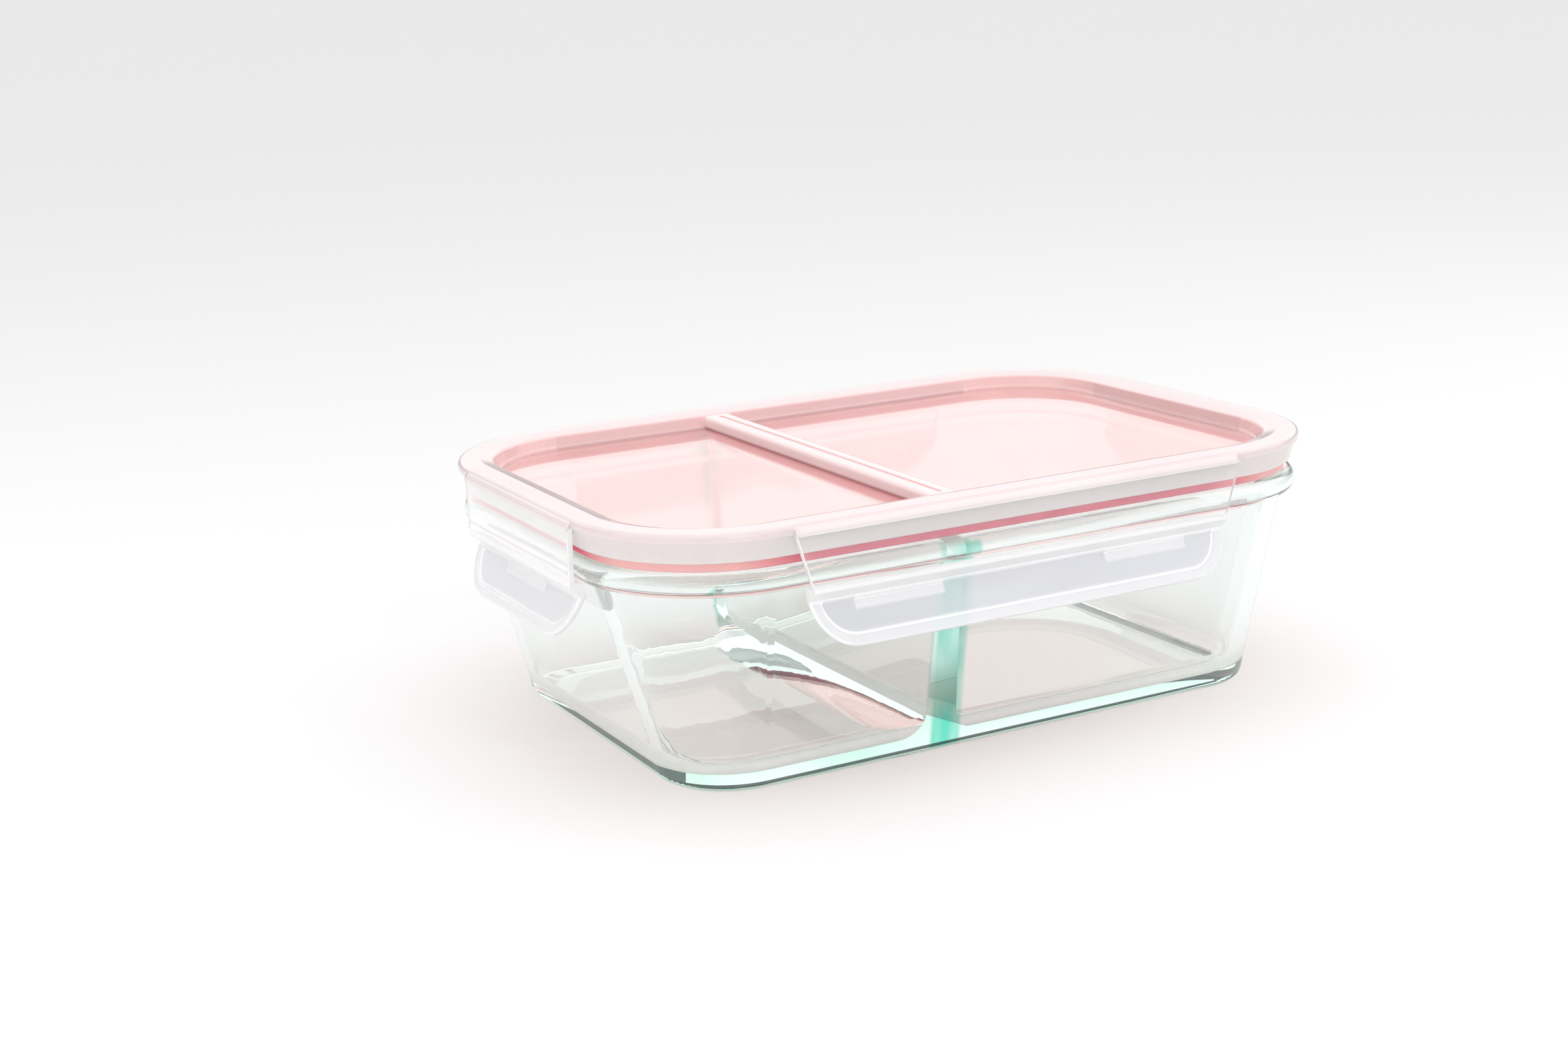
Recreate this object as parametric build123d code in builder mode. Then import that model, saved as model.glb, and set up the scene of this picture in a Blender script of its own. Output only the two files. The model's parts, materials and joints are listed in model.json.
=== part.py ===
"""Two-compartment glass lunch box with a snap-on lid.

Millimetres, +Z up.  The origin is on the table, under the centre of the box, and the
long side lies along X.  The lid, gasket and bead all follow one rounded-rectangle
outline, so most widths here are insets: distances inward from the lid's widest outline.
"""
import os
from math import atan, degrees, hypot, radians, tan

from build123d import *

# ---- Driving dimensions ---------------------------------------------------------
LENGTH = 220.0              # lid, along X
WIDTH = 150.0               # lid, along Y
HEIGHT = 71.5               # table to the top of the lid
CORNER = 39.0               # corner radius of the lid's outline
GAP = 0.3                   # clearance between pieces that move against each other
DIVIDER_X = -18.5           # the divider makes a small left and a large right compartment

# ---- Glass tray -----------------------------------------------------------------
FOOT_LENGTH = 182.0         # flat outline of the drafted body at the table
FOOT_WIDTH = 122.5
FOOT_CORNER = 20.0
FOOT_ROUND = 3.4
PUSH_UP = 0.5               # hollow under the floor, inside the standing ring
PUSH_UP_MARGIN = 9.0
BEAD_LOW = 54.8
BEAD_HEIGHT = 5.9
BEAD_TOP = BEAD_LOW + BEAD_HEIGHT
BEAD_INSET = 1.0
BODY_TOP_INSET = 4.6
NECK_INSET = 5.8
CREASE_ROUND = 0.5          # inner corners where the bead meets the body and the neck
MOUTH_INSET = 9.3           # inner face of the wall at the mouth
MOUTH_CORNER = 29.0
MOUTH_ROUND = 8.0           # where the drafted inner wall turns upright
RIM_TOP = 64.0
RIM_ROUND = 1.2
FLOOR_TOP = 3.9
FLOOR_LENGTH = 175.4        # inner faces of the wall, at the floor
FLOOR_WIDTH = 114.6
FLOOR_CORNER = 17.0
FLOOR_FILLET = 8.0
DIVIDER_TOP = 62.2
DIVIDER_TOP_WIDTH = 5.8
DIVIDER_FOOT_WIDTH = 9.8
DIVIDER_CORNER = 10.0
DIVIDER_ROUND = 1.8

# ---- Lid ------------------------------------------------------------------------
EDGE_LOW = 69.2             # underside of the rim's overhanging edge
EDGE_ROUND = 1.3
SKIRT_LOW = 63.5
SKIRT_INSET = 0.9           # skirt's outer face under the edge, and how far it leans in below
SKIRT_LEAN = 1.4
SKIRT_WALL = 1.5
SKIRT_ROUND = 0.6
LEAN_ANGLE = degrees(atan(SKIRT_LEAN / (EDGE_LOW - SKIRT_LOW)))
CHANNEL_TOP = 69.8          # roof of the groove that holds the gasket
TUB_INSET = 8.3             # outer face of the wall that drops to the sunken panel
PANEL_TOP = 67.0
PANEL_LOW = 65.4
RECESS_INSET = 11.0
RECESS_DRAFT = 14.0         # degrees
RECESS_ROUND = 1.4
LIP_ROUND = 0.7
SLOPE_INSET = 6.3           # the rim's flat top ends here and slopes down to the recess
SLOPE_LOW = 70.7
RIDGE_TOP = 70.6
RIDGE_WIDTH = 9.0
RIDGE_ROUND = 1.5
RIDGE_LINE_WIDTH = 1.4      # shallow line moulded along the ridge
RIDGE_LINE_DEPTH = 0.5
CROSSBAR_WIDTH = 5.6
CROSSBAR_ROOF = 69.2

# ---- Gasket ---------------------------------------------------------------------
LIP_LOW = BEAD_TOP + GAP
LIP_INSET = SKIRT_INSET + SKIRT_LEAN + SKIRT_WALL + 0.1
SEAL_ROUND = 0.6

# ---- Latches and their hinges ---------------------------------------------------
HINGE_OUT = 0.6             # hinge axis, outward from the lid's outline
HINGE_Z = 69.7
FILM_THICK = 0.8
FLAP_TOP = 69.0
FLAP_FACE = 1.0             # panel's outer face, outward from the lid's outline
FLAP_WALL = 1.5
PANEL_END = 53.6            # the panel's face ends here and steps back to the pull tab
STEP_Z = 51.0               # root of the pull tab
HOOK_TOP = 54.5
HOOK_SIDE = 52.7            # lower end of the hook's inner side
HOOK_INSET = 3.3            # tip of the hook, under the bead
TAB_LOW = 39.0
TAB_WALL = 2.0
TAB_SET_BACK = 2.8          # tab's root behind the panel's face
TAB_FLARE = 5.8             # outward, from the root to the tab's lower edge
TAB_LENGTH = hypot(STEP_Z - TAB_LOW, TAB_FLARE)
TAB_CORNER = 12.3
TAB_RIM = 2.8
TAB_POCKET = 0.7
TAB_ROUND = 0.7
FACE_ROUND = 0.4
LUG_LENGTH = 26.0
LUG_LOW = 47.4
LUG_INSET = 4.2
LUG_DEPTH = 2.3

# Half lengths of each latch at its hinge and at its pull tab.
LONG_FLAP = dict(hinge=68.0, tab=63.6, lugs=(-38.0, 38.0))
SHORT_FLAP = dict(hinge=35.5, tab=34.8, lugs=(0.0,))

# ---- Sides: local x along the side, local y up, local z outward -----------------
SIDES = {
    "front": Plane(origin=(0, -WIDTH / 2, 0), x_dir=(1, 0, 0), z_dir=(0, -1, 0)),
    "back": Plane(origin=(0, WIDTH / 2, 0), x_dir=(-1, 0, 0), z_dir=(0, 1, 0)),
    "left": Plane(origin=(-LENGTH / 2, 0, 0), x_dir=(0, -1, 0), z_dir=(-1, 0, 0)),
    "right": Plane(origin=(LENGTH / 2, 0, 0), x_dir=(0, 1, 0), z_dir=(1, 0, 0)),
}
FLAPS = {"front": LONG_FLAP, "back": LONG_FLAP, "left": SHORT_FLAP, "right": SHORT_FLAP}


def outline(inset, mode=Mode.ADD):
    """Rounded rectangle at a distance inside the lid's widest outline."""
    RectangleRounded(LENGTH - 2 * inset, WIDTH - 2 * inset, CORNER - inset, mode=mode)


def channel_inset(z):
    """Inset of the skirt's inner face at height z: it leans with the skirt."""
    return SKIRT_INSET + SKIRT_LEAN + SKIRT_WALL - (z - SKIRT_LOW) * tan(radians(LEAN_ANGLE))


def divider_strip(width, length):
    """Strip along Y, centred on the divider."""
    with Locations((DIVIDER_X, 0)):
        Rectangle(width, length)


def compartment_plan(length, width, corner, divider_width, side):
    """One compartment at one height: large corners at the wall, small ones at the divider."""
    wall_x = side * length / 2
    divider_face = DIVIDER_X + side * divider_width / 2
    with Locations(((wall_x + divider_face) / 2, 0)):
        Rectangle(abs(wall_x - divider_face), width)
    columns = vertices().group_by(Axis.X)
    wall_end, divider_end = (columns[0], columns[-1]) if side < 0 else (columns[-1], columns[0])
    fillet(wall_end, radius=corner)
    fillet(divider_end, radius=DIVIDER_CORNER)


def floor_plan(side):
    compartment_plan(FLOOR_LENGTH, FLOOR_WIDTH, FLOOR_CORNER, DIVIDER_FOOT_WIDTH, side)


def mouth_plan(side):
    length = LENGTH - 2 * MOUTH_INSET
    width = WIDTH - 2 * MOUTH_INSET
    compartment_plan(length, width, MOUTH_CORNER, DIVIDER_TOP_WIDTH, side)


def edges_at(height, select=Select.ALL):
    """Edges of the part being built that lie flat at one height."""
    return edges(select).filter_by_position(Axis.Z, height - 0.01, height + 0.01)


# ---- glass_tray -----------------------------------------------------------------
with BuildPart() as glass_tray:
    # Bead that the latches hook under.
    with BuildSketch(Plane.XY.offset(BEAD_LOW)):
        outline(BEAD_INSET)
    extrude(amount=BEAD_HEIGHT)
    fillet(edges_at(BEAD_LOW) + edges_at(BEAD_TOP), radius=BEAD_HEIGHT / 2 - 0.15)
    # Neck, which goes up into the lid.
    with BuildSketch(Plane.XY.offset(BEAD_LOW)):
        outline(NECK_INSET)
    extrude(amount=RIM_TOP - BEAD_LOW)
    fillet(edges_at(BEAD_TOP, Select.LAST), radius=CREASE_ROUND)
    # Drafted body.
    with BuildSketch(Plane.XY):
        RectangleRounded(FOOT_LENGTH, FOOT_WIDTH, FOOT_CORNER)
    with BuildSketch(Plane.XY.offset(BEAD_LOW + 0.5)):
        outline(BODY_TOP_INSET)
    loft()
    fillet(edges_at(BEAD_LOW, Select.LAST), radius=CREASE_ROUND)
    fillet(edges_at(0), radius=FOOT_ROUND)
    with BuildSketch(Plane.XY):
        RectangleRounded(
            FOOT_LENGTH - 2 * PUSH_UP_MARGIN, FOOT_WIDTH - 2 * PUSH_UP_MARGIN, FOOT_CORNER - PUSH_UP_MARGIN
        )
    extrude(amount=PUSH_UP, taper=45, mode=Mode.SUBTRACT)
    # Two compartments, with the divider left between them.
    for end in (-1, 1):
        with BuildSketch(Plane.XY.offset(FLOOR_TOP)):
            floor_plan(end)
        with BuildSketch(Plane.XY.offset(BEAD_LOW)):
            mouth_plan(end)
        loft(mode=Mode.SUBTRACT)
        with BuildSketch(Plane.XY.offset(BEAD_LOW)):
            mouth_plan(end)
        extrude(amount=RIM_TOP - BEAD_LOW, mode=Mode.SUBTRACT)
        fillet(edges_at(BEAD_LOW, Select.LAST), radius=MOUTH_ROUND)
    fillet(edges_at(FLOOR_TOP), radius=FLOOR_FILLET)
    # The divider stops just below the rim.
    with BuildSketch(Plane.XY.offset(DIVIDER_TOP)):
        RectangleRounded(LENGTH - 2 * MOUTH_INSET, WIDTH - 2 * MOUTH_INSET, MOUTH_CORNER)
    extrude(amount=RIM_TOP - DIVIDER_TOP, mode=Mode.SUBTRACT)
    fillet(edges_at(DIVIDER_TOP).filter_by(Axis.Y), radius=DIVIDER_ROUND)
    fillet(edges_at(RIM_TOP), radius=RIM_ROUND)

# ---- lid ------------------------------------------------------------------------
with BuildPart() as lid:
    # Skirt, and the rim whose edge overhangs it, solid at first.
    with BuildSketch(Plane.XY.offset(SKIRT_LOW)):
        outline(SKIRT_INSET + SKIRT_LEAN)
    extrude(amount=EDGE_LOW - SKIRT_LOW, taper=-LEAN_ANGLE)
    with BuildSketch(Plane.XY.offset(EDGE_LOW)):
        outline(0)
    extrude(amount=HEIGHT - EDGE_LOW)
    fillet(edges_at(HEIGHT), radius=EDGE_ROUND)
    # Hollow underside, up to the roof of the gasket channel.
    with BuildSketch(Plane.XY.offset(SKIRT_LOW)):
        outline(channel_inset(SKIRT_LOW))
    extrude(amount=CHANNEL_TOP - SKIRT_LOW, taper=-LEAN_ANGLE, mode=Mode.SUBTRACT)
    # Shallow tub that closes the mouth of the tray, open at the top.
    with BuildSketch(Plane.XY.offset(PANEL_LOW)):
        outline(TUB_INSET)
    extrude(amount=CHANNEL_TOP - PANEL_LOW)
    with BuildSketch(Plane.XY.offset(PANEL_TOP)):
        outline(RECESS_INSET)
    extrude(amount=HEIGHT - PANEL_TOP, taper=-RECESS_DRAFT, mode=Mode.SUBTRACT)
    fillet(edges_at(PANEL_TOP), radius=RECESS_ROUND)
    # Gentle slope on the inner part of the rim.
    with BuildSketch(Plane.XY.offset(SLOPE_LOW)):
        outline(RECESS_INSET - (SLOPE_LOW - PANEL_TOP) * tan(radians(RECESS_DRAFT)))
    with BuildSketch(Plane.XY.offset(HEIGHT)):
        outline(SLOPE_INSET)
    loft(mode=Mode.SUBTRACT)
    fillet(edges_at(SLOPE_LOW), radius=LIP_ROUND)
    # Ridge over the divider, with a line along its top and the crossbar's channel under it.
    with BuildSketch(Plane.XY.offset(PANEL_LOW)):
        divider_strip(RIDGE_WIDTH, WIDTH - 2 * TUB_INSET - 1.0)
    extrude(amount=RIDGE_TOP - PANEL_LOW)
    fillet(edges_at(RIDGE_TOP).filter_by(Axis.Y), radius=RIDGE_ROUND)
    with BuildSketch(Plane.XY.offset(RIDGE_TOP)):
        divider_strip(RIDGE_LINE_WIDTH, WIDTH - 2 * RECESS_INSET - 3.0)
    extrude(amount=-RIDGE_LINE_DEPTH, mode=Mode.SUBTRACT)
    with BuildSketch(Plane.XY.offset(PANEL_LOW)):
        divider_strip(CROSSBAR_WIDTH, WIDTH - 2 * TUB_INSET)
    extrude(amount=CROSSBAR_ROOF - PANEL_LOW, mode=Mode.SUBTRACT)
    fillet(edges_at(SKIRT_LOW), radius=SKIRT_ROUND)

# ---- gasket ---------------------------------------------------------------------
with BuildPart() as gasket:
    # Ring that fills the lid's channel and presses on the glass rim.
    ring_low = RIM_TOP + GAP
    with BuildSketch(Plane.XY.offset(ring_low)):
        outline(channel_inset(ring_low))
    extrude(amount=CHANNEL_TOP - ring_low, taper=-LEAN_ANGLE)
    with BuildSketch(Plane.XY.offset(ring_low)):
        outline(TUB_INSET)
    extrude(amount=CHANNEL_TOP - ring_low, mode=Mode.SUBTRACT)
    # Lip that hangs outside the neck and shows between the lid and the bead.
    with BuildSketch(Plane.XY.offset(LIP_LOW)):
        outline(LIP_INSET)
        outline(NECK_INSET - GAP, mode=Mode.SUBTRACT)
    extrude(amount=ring_low - LIP_LOW)
    # Crossbar that seals the divider.
    crossbar_low = DIVIDER_TOP + GAP
    with BuildSketch(Plane.XY.offset(PANEL_LOW)):
        divider_strip(CROSSBAR_WIDTH, WIDTH - 2 * TUB_INSET)
    extrude(amount=CROSSBAR_ROOF - PANEL_LOW)
    with BuildSketch(Plane.XY.offset(crossbar_low)):
        divider_strip(CROSSBAR_WIDTH, WIDTH - 2 * MOUTH_INSET - 2 * GAP)
    extrude(amount=PANEL_LOW - crossbar_low)
    fillet(edges_at(LIP_LOW), radius=SEAL_ROUND)


# ---- hinge_front, hinge_back, hinge_left, hinge_right ---------------------------
def hinge_film(side, half_length):
    """Thin flexible strip of a living hinge: its round outer edge lies on the hinge axis."""
    with BuildPart() as film:
        with BuildSketch(side):
            with Locations((0, HINGE_Z)):
                Rectangle(2 * half_length, FILM_THICK)
        extrude(amount=HINGE_OUT + FILM_THICK / 2)
        outward = Axis(side.origin, side.z_dir)
        outer_edges = film.faces().sort_by(outward)[-1].edges().filter_by(Axis(side.origin, side.x_dir))
        fillet(outer_edges, radius=FILM_THICK / 2 - 0.01)
    return film


# ---- latch_front, latch_back, latch_left, latch_right ---------------------------
def flap_section():
    """Cross-section of a closed latch: x outward from the lid's outline, y up."""
    back = FLAP_FACE - FLAP_WALL
    tab_face = FLAP_FACE - TAB_SET_BACK
    tab_back = tab_face - TAB_WALL
    Polygon(
        (back, FLAP_TOP), (FLAP_FACE, FLAP_TOP), (FLAP_FACE, PANEL_END), (tab_face, STEP_Z),
        (tab_face + TAB_FLARE, TAB_LOW), (tab_back + TAB_FLARE, TAB_LOW), (tab_back, STEP_Z),
        (-HOOK_INSET, HOOK_SIDE), (-HOOK_INSET, HOOK_TOP - 0.6), (-HOOK_INSET + 0.6, HOOK_TOP),
        (back, HOOK_TOP), align=None,
    )


def flap_front(hinge, tab):
    """Outline of a latch seen from outside: a panel that narrows to a rounded pull tab."""
    Polygon(
        (-hinge, FLAP_TOP), (hinge, FLAP_TOP), (tab, HOOK_TOP),
        (tab, TAB_LOW), (-tab, TAB_LOW), (-tab, HOOK_TOP), align=None,
    )
    fillet(vertices().group_by(Axis.Y)[0], radius=TAB_CORNER)


def tab_pocket(tab):
    """Shallow field inside the raised border of the pull tab, in the tab's own plane."""
    top = -1.0
    low = TAB_RIM - TAB_LENGTH
    with Locations((0, (top + low) / 2)):
        Rectangle(2 * (tab - TAB_RIM), top - low)
    fillet(vertices().group_by(Axis.Y)[0], radius=TAB_CORNER - TAB_RIM)


def latch(side, hinge, tab, lugs):
    """Snap latch of one side: hinged panel, hook under the bead, and a flared pull tab."""
    with BuildPart() as flap:
        end = Plane(origin=side.from_local_coords((hinge, 0, 0)), x_dir=side.z_dir, z_dir=-side.x_dir)
        with BuildSketch(end):
            flap_section()
        extrude(amount=2 * hinge)
        with BuildSketch(side):
            flap_front(hinge, tab)
        extrude(amount=2 * TAB_FLARE, both=True, mode=Mode.INTERSECT)
        # Rounded edges: around the pull tab on both faces, and around the panel's face.
        outward = Axis(side.origin, side.z_dir)
        tilted = side.z_dir * (STEP_Z - TAB_LOW) + side.y_dir * TAB_FLARE
        tab_faces = flap.faces().filter_by(Axis(side.origin, tilted)).sort_by(outward)
        tab_edges = tab_faces[0].edges() + tab_faces[-1].edges()
        fillet(tab_edges.filter_by(lambda edge: edge.center().Z < STEP_Z - 0.3), radius=TAB_ROUND)
        panel = flap.faces().filter_by(outward).sort_by(outward)[-1]
        panel_edges = panel.edges().filter_by(lambda edge: edge.center().Z > PANEL_END - 0.1)
        fillet(panel_edges, radius=FACE_ROUND)
        # Field of the pull tab.
        step = side.from_local_coords((0, STEP_Z, FLAP_FACE - TAB_SET_BACK))
        with BuildSketch(Plane(origin=step, x_dir=side.x_dir, z_dir=tilted)):
            tab_pocket(tab)
        extrude(amount=-TAB_POCKET, mode=Mode.SUBTRACT)
        # Lugs that stiffen the hook.
        with BuildSketch(side.offset(-LUG_INSET)):
            with Locations([(lug, (LUG_LOW + HOOK_SIDE) / 2) for lug in lugs]):
                Rectangle(LUG_LENGTH, HOOK_SIDE - LUG_LOW)
        extrude(amount=LUG_DEPTH)
    return flap


glass_tray.part.label = "glass_tray"
lid.part.label = "lid"
gasket.part.label = "gasket"
pieces = [glass_tray, lid, gasket]
for name, side in SIDES.items():
    film = hinge_film(side, FLAPS[name]["hinge"])
    film.part.label = "hinge_" + name
    closed = latch(side, **FLAPS[name])
    closed.part.label = "latch_" + name
    pieces += [film, closed]

os.makedirs("parts", exist_ok=True)
for piece in pieces:
    export_step(piece.part, f"parts/{piece.part.label}.step")
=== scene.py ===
"""Looks for the divided glass lunch box: materials, hinge webs, studio and camera.

Metres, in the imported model's frame: the box stands at the origin with its long side along X
and its front long side towards -Y.
"""
import json
from math import cos, radians, sin

import bmesh
import bpy
from mathutils import Matrix, Vector


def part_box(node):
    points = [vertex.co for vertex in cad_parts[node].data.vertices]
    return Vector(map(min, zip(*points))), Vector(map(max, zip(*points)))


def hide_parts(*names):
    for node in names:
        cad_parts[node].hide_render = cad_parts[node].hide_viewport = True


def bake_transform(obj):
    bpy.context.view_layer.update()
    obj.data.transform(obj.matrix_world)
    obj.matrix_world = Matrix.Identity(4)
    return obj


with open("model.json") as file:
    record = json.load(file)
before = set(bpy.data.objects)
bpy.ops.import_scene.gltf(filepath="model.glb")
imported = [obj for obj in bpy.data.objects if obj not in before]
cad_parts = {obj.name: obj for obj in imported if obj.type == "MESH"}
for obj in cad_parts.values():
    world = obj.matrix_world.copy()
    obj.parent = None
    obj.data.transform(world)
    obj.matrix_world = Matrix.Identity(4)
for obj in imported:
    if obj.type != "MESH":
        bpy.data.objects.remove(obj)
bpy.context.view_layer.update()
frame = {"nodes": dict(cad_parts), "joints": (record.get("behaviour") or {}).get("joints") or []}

SIDES = {
    "front": {"out": Vector((0, -1, 0)), "along": Vector((1, 0, 0))},
    "back": {"out": Vector((0, 1, 0)), "along": Vector((-1, 0, 0))},
    "left": {"out": Vector((-1, 0, 0)), "along": Vector((0, -1, 0))},
    "right": {"out": Vector((1, 0, 0)), "along": Vector((0, 1, 0))},
}

# ---- Places where the materials change ------------------------------------------
DIVIDER_X = -0.0185                     # middle of the glass divider
DIVIDER_HALF = 0.0046                   # half its thickness, at the ends that show green

LID_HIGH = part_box("lid")[1]
LID_CORNER = 0.039                      # radius of the lid's outline at its corners
LID_RIM = 0.0095                        # width of the raised rim
LID_THICK = 0.0112                      # the lid is thick from its outline in to here
PANEL_Z = LID_HIGH.z - 0.0045           # top of the lid's sunken panel
SKIRT_TOP_Z = LID_HIGH.z - 0.0023       # the lid's edge overhangs its skirt here
RIDGE_HALF = 0.0049                     # half the width of the ridge over the divider

# The long latches are on the front and back, the short ones on the left and right.
LATCH_LOW, LATCH_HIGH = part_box("latch_front")
HOOK_TOP_Z = LATCH_HIGH.z - 0.0145      # a latch is thick from here down to ROOT_Z
ROOT_Z = LATCH_HIGH.z - 0.018           # and its pull tab is below that
LUG_LOW_Z = LATCH_HIGH.z - 0.0216
LUG_HALF = 0.013
LUG_PLACE = {"long": 0.038, "short": 0.0}
TAB_HALF = {"long": 0.0636, "short": 0.0348}
TAB_CORNER = 0.0123
TAB_BORDER = 0.0028
TAB_NORMAL = (0.90, 0.435)              # outward and up, on the flared pull tab
LATCH_BLUR = 0.0003                     # softens the outlines of the lugs and the border

# Distances from the middle where painted light starts to fade the gasket's red and where it is
# palest
FADE_X = (0.060, 0.082)
FADE_Y = (0.030, 0.048)

# ---- Colours: pairs are the two ends of a mottle --------------------------------
GLASS_CLEAR = (0.99, 0.995, 0.99, 1)
# Painted shade: grey painted on the glass where it is seen edge on, standing in for the dark things
# its edges reflect and bend
GLASS_PAINTED_EDGE_SHADE = (0.48, 0.52, 0.51, 1)
GLASS_GREENS = (0.03, 0.56, 0.39, 1), (0.50, 0.88, 0.77, 1)
GLASS_DEPTH = (0.05, 0.80, 0.60, 1)     # light takes this on over a long way through glass
LID_PINKS = (0.96, 0.66, 0.65, 1), (0.98, 0.71, 0.70, 1)
RIM_BLUSHES = (0.83, 0.74, 0.75, 1), (0.87, 0.78, 0.79, 1)
SKIRT_WHITES = (0.79, 0.75, 0.745, 1), (0.83, 0.79, 0.785, 1)
LATCH_WHITES = (0.88, 0.88, 0.885, 1), (0.92, 0.92, 0.925, 1)
LATCH_PANEL = (1, 1, 1, 1)
# Painted shade: the pull tab's frosted field is painted grey-lilac, darker on the long latches than
# on the short ones
TAB_FIELD_PAINTED_SHADE = {"long": (0.74, 0.74, 0.775, 1), "short": (0.84, 0.83, 0.855, 1)}
SILICONE_REDS = (0.58, 0.08, 0.135, 1), (0.66, 0.12, 0.175, 1)
# Painted light: the pale beige that the gasket's red fades to at the box's corners
SILICONE_PAINTED_LIGHT = (0.80, 0.50, 0.47, 1)
FLOOR_GREY = (0.78, 0.78, 0.78, 1)

# What lamps are tinted by when they shine through
GLASS_PASSES = (0.975, 0.985, 0.98, 1)
LID_PASSES = (0.87, 0.865, 0.865, 1)
LATCH_PASSES = (0.975, 0.97, 0.975, 1)

# ---- Clearness: the share of light that goes through ----------------------------
LID_PANEL_CLEARNESS = 0.79
LID_THICK_CLEARNESS = 0.25
RIDGE_LOSS = -0.25                      # what a fully pale ridge would add
LATCH_CLEARNESS = 0.2
PANEL_GAIN = {"long": 0.74, "short": 0.5}           # a latch's panel adds this
FIELD_GAIN = 0.4                        # the frosted field of its pull tab adds this

# ---- Paleness -------------------------------------------------------------------
RIDGE_VEIL = 0.45                       # how much of the rim's paleness the ridge has
RAISED_VEIL = 0.5                       # a pull tab's border and lugs, beside its painted highlight line
CORNER_PAINTED_LIGHT = 0.8                            # painted light on the gasket, at the corners


# ---- Node helpers ---------------------------------------------------------------
class Tree:
    """A material's node tree, with short ways to add the nodes that these materials share."""

    def __init__(self, name):
        self.material = bpy.data.materials.new(name)
        self.material.use_nodes = True
        self.nodes = self.material.node_tree.nodes
        self.links = self.material.node_tree.links
        self.bsdf = self.nodes["Principled BSDF"]
        self.output = self.nodes["Material Output"]
        coordinates = self.nodes.new("ShaderNodeTexCoord")
        self.place = coordinates.outputs["Object"]
        self.normal = coordinates.outputs["Normal"]

    def feed(self, socket, value):
        """Links another node's output to a socket, or sets the socket to a plain value."""
        if isinstance(value, bpy.types.NodeSocket):
            self.links.new(value, socket)
        else:
            socket.default_value = value

    def add(self, kind, inputs, **settings):
        """A new node with its inputs fed and its settings made."""
        node = self.nodes.new(kind)
        for key, value in settings.items():
            setattr(node, key, value)
        for key, value in inputs.items():
            self.feed(node.inputs[key], value)
        return node

    def shade(self, **values):
        """Sets the shader's own sockets; the names use _ for a space."""
        for key, value in values.items():
            self.feed(self.bsdf.inputs[key.replace("_", " ")], value)

    # Values that differ over the surface

    def stretched(self, scale):
        """Object coordinates scaled per axis."""
        return self.add("ShaderNodeMapping", {"Vector": self.place, "Scale": scale}).outputs[0]

    def noise(self, scale, detail, roughness, vector=None):
        inputs = {"Vector": vector or self.place, "Scale": scale}
        inputs.update({"Detail": detail, "Roughness": roughness})
        return self.add("ShaderNodeTexNoise", inputs).outputs["Fac"]

    def axis_of(self, vector, axis):
        """Size of a vector's X, Y or Z, whatever its sign."""
        split = self.add("ShaderNodeSeparateXYZ", {"Vector": vector})
        return self.math("ABSOLUTE", split.outputs[axis], 0.0)

    def along(self, axis):
        """Distance from the box's centre along X, Y or Z."""
        return self.axis_of(self.place, axis)

    def facing(self, axis):
        """How squarely the surface faces along X, Y or Z, 0 to 1, in the object's own frame."""
        return self.axis_of(self.normal, axis)

    def from_divider(self):
        """Distance along X from the middle of the divider."""
        return self.axis_of(self.vector("SUBTRACT", self.place, (DIVIDER_X, 0, 0)), "X")

    def grazing(self):
        """0 where the surface is seen square on, 1 where it is seen edge on."""
        return self.add("ShaderNodeLayerWeight", {"Blend": 0.5}).outputs["Facing"]

    def inset(self, half_x, half_y, corner):
        """Distance inside a rounded rectangle about the Z axis, up to the radius of its corners."""
        core = (half_x - corner, half_y - corner, 1.0)
        outside_core = self.vector("SUBTRACT", self.vector("ABSOLUTE", self.place), core)
        beyond = self.vector("MAXIMUM", outside_core)
        return self.math("SUBTRACT", corner, self.vector("LENGTH", beyond))

    def tab_inset(self, sideways, half):
        """Distance inside the edge of a pull tab, up to the radius of its corners."""
        beside = self.math("SUBTRACT", sideways, half - TAB_CORNER)
        below = self.math("SUBTRACT", LATCH_LOW.z + TAB_CORNER, self.along("Z"))
        inputs = {"X": self.math("MAXIMUM", beside, 0.0), "Y": self.math("MAXIMUM", below, 0.0)}
        beyond = self.add("ShaderNodeCombineXYZ", inputs).outputs[0]
        return self.math("SUBTRACT", TAB_CORNER, self.vector("LENGTH", beyond))

    # Arithmetic

    def ramp(self, value, low, high, to_low=0.0, to_high=1.0):
        """Goes from to_low to to_high as the value goes from low to high, and no further."""
        inputs = {"Value": value, "From Min": low, "From Max": high}
        inputs.update({"To Min": to_low, "To Max": to_high})
        return self.add("ShaderNodeMapRange", inputs).outputs[0]

    def under(self, value, limit, blur):
        """1 where the value is under the limit and 0 over it, with a blur that wide either way."""
        return self.ramp(value, limit + blur, limit - blur)

    def over(self, value, limit, blur):
        """1 where the value is over the limit and 0 under it, with a blur that wide either way."""
        return self.ramp(value, limit - blur, limit + blur)

    def math(self, operation, a, b, c=0.0):
        return self.add("ShaderNodeMath", {0: a, 1: b, 2: c}, operation=operation).outputs[0]

    def both(self, a, b):
        """1 only where both masks are 1."""
        return self.math("MULTIPLY", a, b)

    def vector(self, operation, a, b=(0, 0, 0)):
        node = self.add("ShaderNodeVectorMath", {0: a, 1: b}, operation=operation)
        return node.outputs["Value" if operation == "LENGTH" else 0]

    def mix(self, factor, a, b):
        inputs = {0: factor, 6: a, 7: b}
        return self.add("ShaderNodeMix", inputs, data_type="RGBA").outputs[2]

    # Shaders

    def bump(self, height, strength, distance):
        inputs = {"Height": height, "Strength": strength, "Distance": distance}
        return self.add("ShaderNodeBump", inputs).outputs[0]

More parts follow.
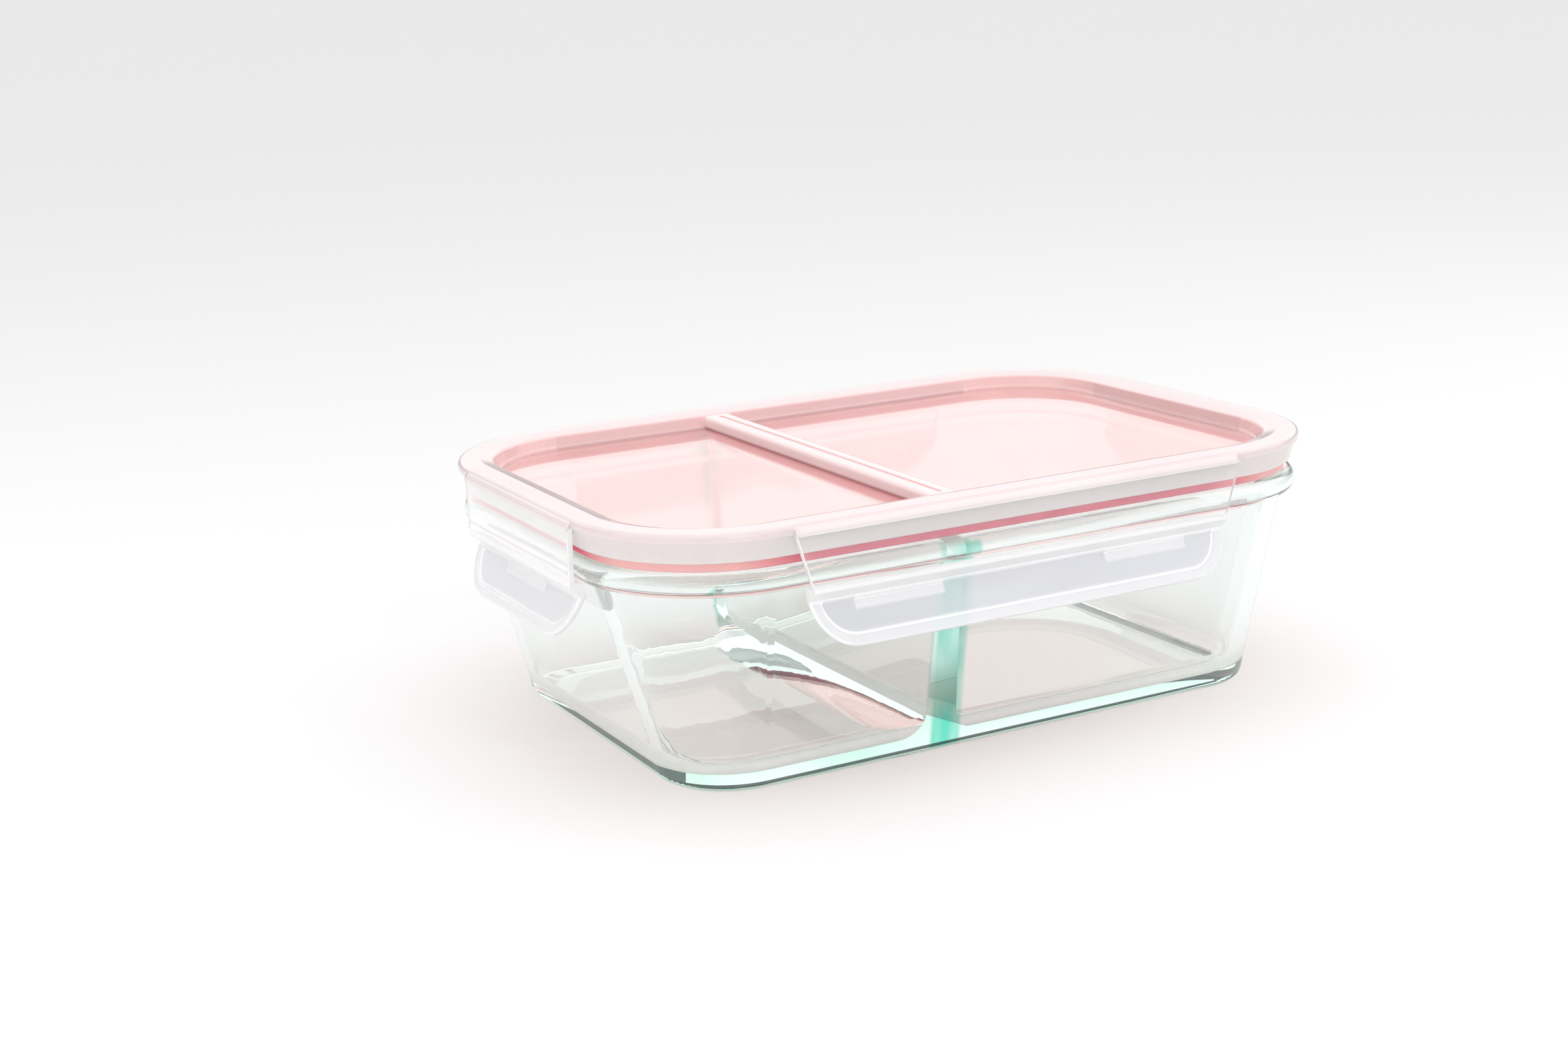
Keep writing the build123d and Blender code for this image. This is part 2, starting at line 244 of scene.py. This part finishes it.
    def clear_for(self, ray, clear, solid):
        """The solid shader, but the clear one for one kind of ray."""
        path = self.add("ShaderNodeLightPath", {})
        inputs = {0: path.outputs[ray], 1: solid, 2: clear}
        return self.add("ShaderNodeMixShader", inputs).outputs[0]

    def pass_light(self, tint, one_reflection=False):
        """Lamps shine through with this tint, as they do through the real material.

        With one_reflection, light that has been reflected once leaves unbent, so that thick
        edges are as bright as those of real glass, where it goes round many more times.
        """
        clear = self.add("ShaderNodeBsdfTransparent", {"Color": tint}).outputs[0]
        solid = self.bsdf.outputs[0]
        if one_reflection:
            solid = self.clear_for("Is Reflection Ray", clear, solid)
        solid = self.clear_for("Is Shadow Ray", clear, solid)
        self.links.new(solid, self.output.inputs["Surface"])


# ---- Materials ------------------------------------------------------------------
def pressed_glass():
    """Clear glass with painted shade, grey where it is seen edge on, and streaked green on the
    divider's ends.
    """
    tree = Tree("pressed_glass")
    waves = tree.noise(28.0, 1.5, 0.4)
    smears = tree.noise(70.0, 5.0, 0.65, tree.stretched((1.0, 1.0, 0.35)))
    streaks = tree.noise(90.0, 2.0, 0.5, tree.stretched((1.0, 1.0, 0.3)))
    # Painted shade: the glass's colour turns grey where it is seen edge on
    clear = tree.mix(tree.ramp(tree.grazing(), 0.82, 0.96), GLASS_CLEAR, GLASS_PAINTED_EDGE_SHADE)
    green = tree.mix(tree.ramp(streaks, 0.4, 0.6), *GLASS_GREENS)
    on_divider = tree.under(tree.from_divider(), DIVIDER_HALF, 0.0006)
    divider_end = tree.both(on_divider, tree.ramp(tree.facing("Y"), 0.6, 0.9))
    tree.shade(Base_Color=tree.mix(divider_end, clear, green))
    tree.shade(Transmission_Weight=1.0, IOR=1.5)
    tree.shade(Roughness=tree.ramp(smears, 0.52, 0.8, 0.0, 0.02))
    tree.shade(Normal=tree.bump(waves, 0.03, 0.0012))
    absorb = tree.add("ShaderNodeVolumeAbsorption", {"Color": GLASS_DEPTH, "Density": 4.5})
    tree.links.new(absorb.outputs[0], tree.output.inputs["Volume"])
    tree.pass_light(GLASS_PASSES, one_reflection=True)
    return tree.material


def lid_plastic():
    """Translucent pink polypropylene with a satin grain: clear in its panel, milky round it."""
    tree = Tree("lid_polypropylene")
    clouds = tree.noise(22.0, 4.0, 0.6)
    grain = tree.noise(2600.0, 2.0, 0.5)
    inset = tree.inset(LID_HIGH.x, LID_HIGH.y, LID_CORNER)
    height = tree.along("Z")

    rim = tree.under(inset, LID_RIM, 0.0007)
    on_ridge = tree.both(
        tree.under(tree.from_divider(), RIDGE_HALF, 0.0003),
        tree.ramp(inset, LID_RIM, LID_RIM + 0.002),
    )
    risen = tree.ramp(height, PANEL_Z + 0.0003, PANEL_Z + 0.0015, 0.0, RIDGE_VEIL)
    ridge = tree.both(on_ridge, risen)
    above_panel = tree.ramp(height, PANEL_Z + 0.0002, PANEL_Z + 0.0009)
    thick = tree.math("MAXIMUM", tree.under(inset, LID_THICK, 0.0004), above_panel)

    mottle = tree.ramp(clouds, 0.3, 0.7)
    pink = tree.mix(mottle, *LID_PINKS)
    blush = tree.mix(mottle, *RIM_BLUSHES)
    white = tree.mix(mottle, *SKIRT_WHITES)
    pale = tree.mix(tree.under(height, SKIRT_TOP_Z, 0.001), blush, white)
    tree.shade(Base_Color=tree.mix(tree.math("MAXIMUM", rim, ridge), pink, pale), IOR=1.49)
    clearness = tree.ramp(thick, 0, 1, LID_PANEL_CLEARNESS, LID_THICK_CLEARNESS)
    tree.shade(Transmission_Weight=tree.math("MULTIPLY_ADD", ridge, RIDGE_LOSS, clearness))
    satin = tree.ramp(clouds, 0.25, 0.75, 0.02, 0.05)
    tree.shade(Roughness=tree.math("MULTIPLY_ADD", thick, 0.1, satin))
    tree.shade(Normal=tree.bump(grain, 0.04, 0.00004))
    tree.pass_light(LID_PASSES)
    return tree.material


def lug_mask(tree, height, sideways, length):
    """1 on the lugs at the top of a pull tab."""
    from_lug = tree.math("ABSOLUTE", tree.math("SUBTRACT", sideways, LUG_PLACE[length]), 0.0)
    beside = tree.under(from_lug, LUG_HALF, LATCH_BLUR)
    return tree.both(beside, tree.over(height, LUG_LOW_Z, LATCH_BLUR))


def latch_plastic(length, axis):
    """Milky clear polypropylene of the long or short latches, whose panels face along one axis.

    The panel is clear, the thick hook is milky, and the pull tab is a frosted field painted grey
    as shade, darker on the long latches, inside a painted highlight line, with a whiter border and
    lugs.
    """
    tree = Tree(length + "_latch_polypropylene")
    clouds = tree.noise(30.0, 4.0, 0.6)
    grain = tree.noise(3000.0, 2.0, 0.5)
    height = tree.along("Z")
    sideways = tree.along("X" if axis == "Y" else "Y")
    squarely = tree.facing(axis)
    above_hook = tree.ramp(height, HOOK_TOP_Z, HOOK_TOP_Z + 0.001)
    panel = tree.both(tree.ramp(squarely, 0.80, 0.98), above_hook)
    upward = tree.math("MULTIPLY", tree.facing("Z"), TAB_NORMAL[1])
    flared = tree.math("MULTIPLY_ADD", squarely, TAB_NORMAL[0], upward)
    tab = tree.both(tree.ramp(flared, 0.93, 0.985), tree.ramp(height, ROOT_Z, ROOT_Z - 0.001))

    inset = tree.tab_inset(sideways, TAB_HALF[length])
    border = tree.under(inset, TAB_BORDER, LATCH_BLUR)
    # Painted highlight: a thin white line along the inner edge of the pull tab's border
    from_highlight_line = tree.math("ABSOLUTE", tree.math("SUBTRACT", inset, TAB_BORDER + 0.0002), 0.0)
    highlight_line = tree.ramp(from_highlight_line, 0.0005, 0.0002)
    lug = lug_mask(tree, height, sideways, length)
    raised = tree.math("MULTIPLY", tree.math("MAXIMUM", lug, border), RAISED_VEIL)
    white = tree.math("MAXIMUM", highlight_line, raised)
    field = tree.both(tab, tree.ramp(white, 0, 1, 1, 0))

    clearness = tree.math("MULTIPLY_ADD", panel, PANEL_GAIN[length], LATCH_CLEARNESS)
    tree.shade(Transmission_Weight=tree.math("MULTIPLY_ADD", field, FIELD_GAIN, clearness))
    milky = tree.mix(tree.ramp(clouds, 0.3, 0.7), *LATCH_WHITES)
    body = tree.mix(panel, milky, LATCH_PANEL)
    # Painted shade: the pull tab's field takes the darker grey-lilac colour
    tree.shade(Base_Color=tree.mix(field, body, TAB_FIELD_PAINTED_SHADE[length]), IOR=1.33)
    satin = tree.ramp(clouds, 0.25, 0.75, 0.15, 0.2)
    tree.shade(Roughness=tree.math("MULTIPLY_ADD", panel, -0.11, satin))
    tree.shade(Normal=tree.bump(grain, 0.02, 0.00004))
    tree.pass_light(LATCH_PASSES)
    return tree.material


def gasket_silicone():
    """Soft red silicone with a dull, slightly mottled skin, and painted light at the box's corners,
    where it is paler.
    """
    tree = Tree("gasket_silicone")
    mottle = tree.noise(90.0, 4.0, 0.6)
    grain = tree.noise(4200.0, 3.0, 0.6)
    red = tree.mix(tree.ramp(mottle, 0.3, 0.7), *SILICONE_REDS)
    # Painted light: the gasket's red is paled towards beige at the box's corners
    corner = tree.both(tree.ramp(tree.along("X"), *FADE_X), tree.ramp(tree.along("Y"), *FADE_Y))
    tree.shade(Base_Color=tree.mix(tree.math("MULTIPLY", corner, CORNER_PAINTED_LIGHT), red, SILICONE_PAINTED_LIGHT))
    tree.shade(Subsurface_Weight=0.25, Subsurface_Scale=1.0)
    tree.shade(Subsurface_Radius=(0.003, 0.0012, 0.001))
    tree.shade(Roughness=tree.ramp(mottle, 0.25, 0.75, 0.42, 0.58), IOR=1.41)
    tree.shade(Normal=tree.bump(grain, 0.2, 0.00005))
    return tree.material


def paint(node, material):
    """Gives a CAD node one material all over."""
    for slot in frame["nodes"][node].material_slots:
        slot.material = material


# ---- Hinge webs -----------------------------------------------------------------
WEB_THICK = 0.00035
WEB_COLUMNS = 80
# Where a web's outer face runs, from inside the lid's edge to inside the latch's panel:
# distances outward and up from the hinge axis.
WEB_PATH = (
    (-0.00098, 0.0013),
    (-0.0004, 0.0007),
    (0.00005, 0.0001),
    (0.00032, -0.0004),
    (0.00038, -0.0012),
)


def web_section():
    """Points around a web's cross-section, smoothed along its path."""
    points = [Vector(p) for p in WEB_PATH]
    for _ in range(2):
        cut = [points[0]]
        for a, b in zip(points, points[1:]):
            cut += [a.lerp(b, 0.25), a.lerp(b, 0.75)]
        points = cut + [points[-1]]
    inner = []
    for i, point in enumerate(points):
        run = points[min(i + 1, len(points) - 1)] - points[max(i - 1, 0)]
        inner.append(point + Vector((run.y, -run.x)).normalized() * WEB_THICK)
    return points + inner[::-1]


def web_mesh(name, pin, half, out, along):
    """A web's section, swept along its hinge for that half length each way from the pin."""
    section = web_section()
    bm = bmesh.new()
    rings = []
    for column in range(WEB_COLUMNS + 1):
        across = along * half * (2 * column / WEB_COLUMNS - 1)
        ring = [pin + across + out * u + Vector((0, 0, v)) for u, v in section]
        rings.append([bm.verts.new(point) for point in ring])
    for a, b in zip(rings, rings[1:]):
        for i in range(len(section)):
            j = (i + 1) % len(section)
            bm.faces.new((a[i], a[j], b[j], b[i]))
    bm.faces.new(rings[0])
    bm.faces.new(rings[-1])
    bmesh.ops.recalc_face_normals(bm, faces=bm.faces)
    mesh = bpy.data.meshes.new(name)
    bm.to_mesh(mesh)
    bm.free()
    mesh.shade_smooth()
    return mesh


def hinge_web(side, material):
    """Thin web from the lid's edge to the top of a latch."""
    out, along = SIDES[side]["out"], SIDES[side]["along"]
    pin = next(Vector(j["pos_m"]) for j in frame["joints"] if j["child"] == "latch_" + side)
    low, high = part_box("hinge_" + side)
    half = abs((high - low).dot(along)) / 2
    mesh = web_mesh("web_" + side, pin, half, out, along)
    mesh.materials.append(material)
    web = bpy.data.objects.new("web_" + side, mesh)
    bpy.context.scene.collection.objects.link(web)
    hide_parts("hinge_" + side)
    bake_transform(web)


# ---- Studio ---------------------------------------------------------------------
FLOOR_REACH = 200.0
BOX_MIDDLE = Vector((0, 0, 0.04))       # where the softboxes point
SUN_TRAVEL = (-0.25, -0.45, -1)
SUN_STRENGTH = 1.95
SUN_SPREAD = radians(110)               # so wide that its disc shows in no reflection
# Name, place, size and power
SOFTBOXES = (
    ("left_box", (-0.9, -0.2, 0.45), (0.9, 1.0), 3.4),
    ("right_box", (0.8, -0.5, 0.6), (0.9, 1.0), 3.0),
    ("front_box", (-0.3, -1.4, 0.65), (2.6, 1.1), 3.2),
    ("strip_box", (-0.2, -0.8, 0.75), (1.2, 0.04), 1.3),
)
# Two parts of the surrounding light, which are added. Each has an axis, how far along it a
# direction has the full strength, the strength at right angles to it, and the full strength.
SKY_FADES = (("Z", 0.35, 0.08, 0.45), ("Y", -1.0, 0.0, 0.3))


def floor():
    mesh = bpy.data.meshes.new("floor")
    ends = ((-1, -1), (1, -1), (1, 1), (-1, 1))
    mesh.from_pydata([(x * FLOOR_REACH, y * FLOOR_REACH, 0) for x, y in ends], [], [(0, 1, 2, 3)])
    plane = bpy.data.objects.new("floor", mesh)
    bpy.context.scene.collection.objects.link(plane)
    tree = Tree("studio_floor")
    tree.shade(Base_Color=FLOOR_GREY, Roughness=0.9, Specular_IOR_Level=0.0)
    mesh.materials.append(tree.material)


def aim(lamp, place, travel):
    """Puts a lamp in place, shining the way its light is to travel."""
    lamp.location = place
    lamp.rotation_euler = Vector(travel).to_track_quat("-Z", "Y").to_euler()
    bpy.context.scene.collection.objects.link(lamp)


def softbox(name, place, size, power):
    light = bpy.data.lights.new(name, "AREA")
    light.shape = "RECTANGLE"
    light.size, light.size_y = size
    light.energy = power
    lamp = bpy.data.objects.new(name, light)
    lamp.visible_camera = False
    aim(lamp, place, BOX_MIDDLE - Vector(place))


def surround():
    """A pale ceiling over dark walls, which give the glass its grey edges; brighter in front."""
    room = bpy.data.worlds.new("studio")
    bpy.context.scene.world = room
    room.use_nodes = True
    nodes, links = room.node_tree.nodes, room.node_tree.links
    place = nodes.new("ShaderNodeTexCoord")
    split = nodes.new("ShaderNodeSeparateXYZ")
    links.new(place.outputs["Generated"], split.inputs[0])
    total = nodes.new("ShaderNodeMath")
    total.operation = "ADD"
    for part, (axis, reach, level, full) in enumerate(SKY_FADES):
        fade = nodes.new("ShaderNodeMapRange")
        links.new(split.outputs[axis], fade.inputs["Value"])
        fade.inputs["From Min"].default_value = 0.0
        fade.inputs["From Max"].default_value = reach
        fade.inputs["To Min"].default_value = level
        fade.inputs["To Max"].default_value = full
        links.new(fade.outputs[0], total.inputs[part])
    background = nodes["Background"]
    links.new(total.outputs[0], background.inputs["Strength"])
    background.inputs["Color"].default_value = (1, 1, 1, 1)


def studio():
    bpy.context.scene.view_settings.view_transform = "Standard"
    floor()
    surround()
    sun = bpy.data.lights.new("key", "SUN")
    sun.energy = SUN_STRENGTH
    sun.angle = SUN_SPREAD
    aim(bpy.data.objects.new("key", sun), (0, 0, 1), SUN_TRAVEL)
    for name, place, size, power in SOFTBOXES:
        softbox(name, place, size, power)


CAMERA_PLACE = (-0.3200, -0.5452, 0.2046)
CAMERA_TURNS = (-27.92, 13.92, -2.18)   # degrees: to the right of the front, above it, and rolled
SENSOR_MM = 36.0
LENS_MM = 52.31


def camera():
    """The photograph's viewpoint: a little above the box, to the left of its front."""
    azimuth, elevation, roll = (radians(turn) for turn in CAMERA_TURNS)
    level_x, level_y = sin(azimuth), -cos(azimuth)
    back = Vector((level_x * cos(elevation), level_y * cos(elevation), sin(elevation)))
    level = Vector((0, 0, 1)).cross(back).normalized()
    rise = back.cross(level)
    right = level * cos(roll) + rise * sin(roll)
    up = rise * cos(roll) - level * sin(roll)
    facing = Matrix((right, up, back)).transposed().to_4x4()
    lens = bpy.data.cameras.new("camera")
    lens.sensor_width = SENSOR_MM
    lens.lens = LENS_MM
    view = bpy.data.objects.new("camera", lens)
    view.matrix_world = Matrix.Translation(CAMERA_PLACE) @ facing
    bpy.context.scene.collection.objects.link(view)
    bpy.context.scene.camera = view


# ---- The scene ------------------------------------------------------------------
camera()
studio()
paint("glass_tray", pressed_glass())
paint("gasket", gasket_silicone())
lid_material = lid_plastic()
paint("lid", lid_material)
long_latch = latch_plastic("long", "Y")
short_latch = latch_plastic("short", "X")
for side in SIDES:
    paint("latch_" + side, long_latch if side in ("front", "back") else short_latch)
    hinge_web(side, lid_material)
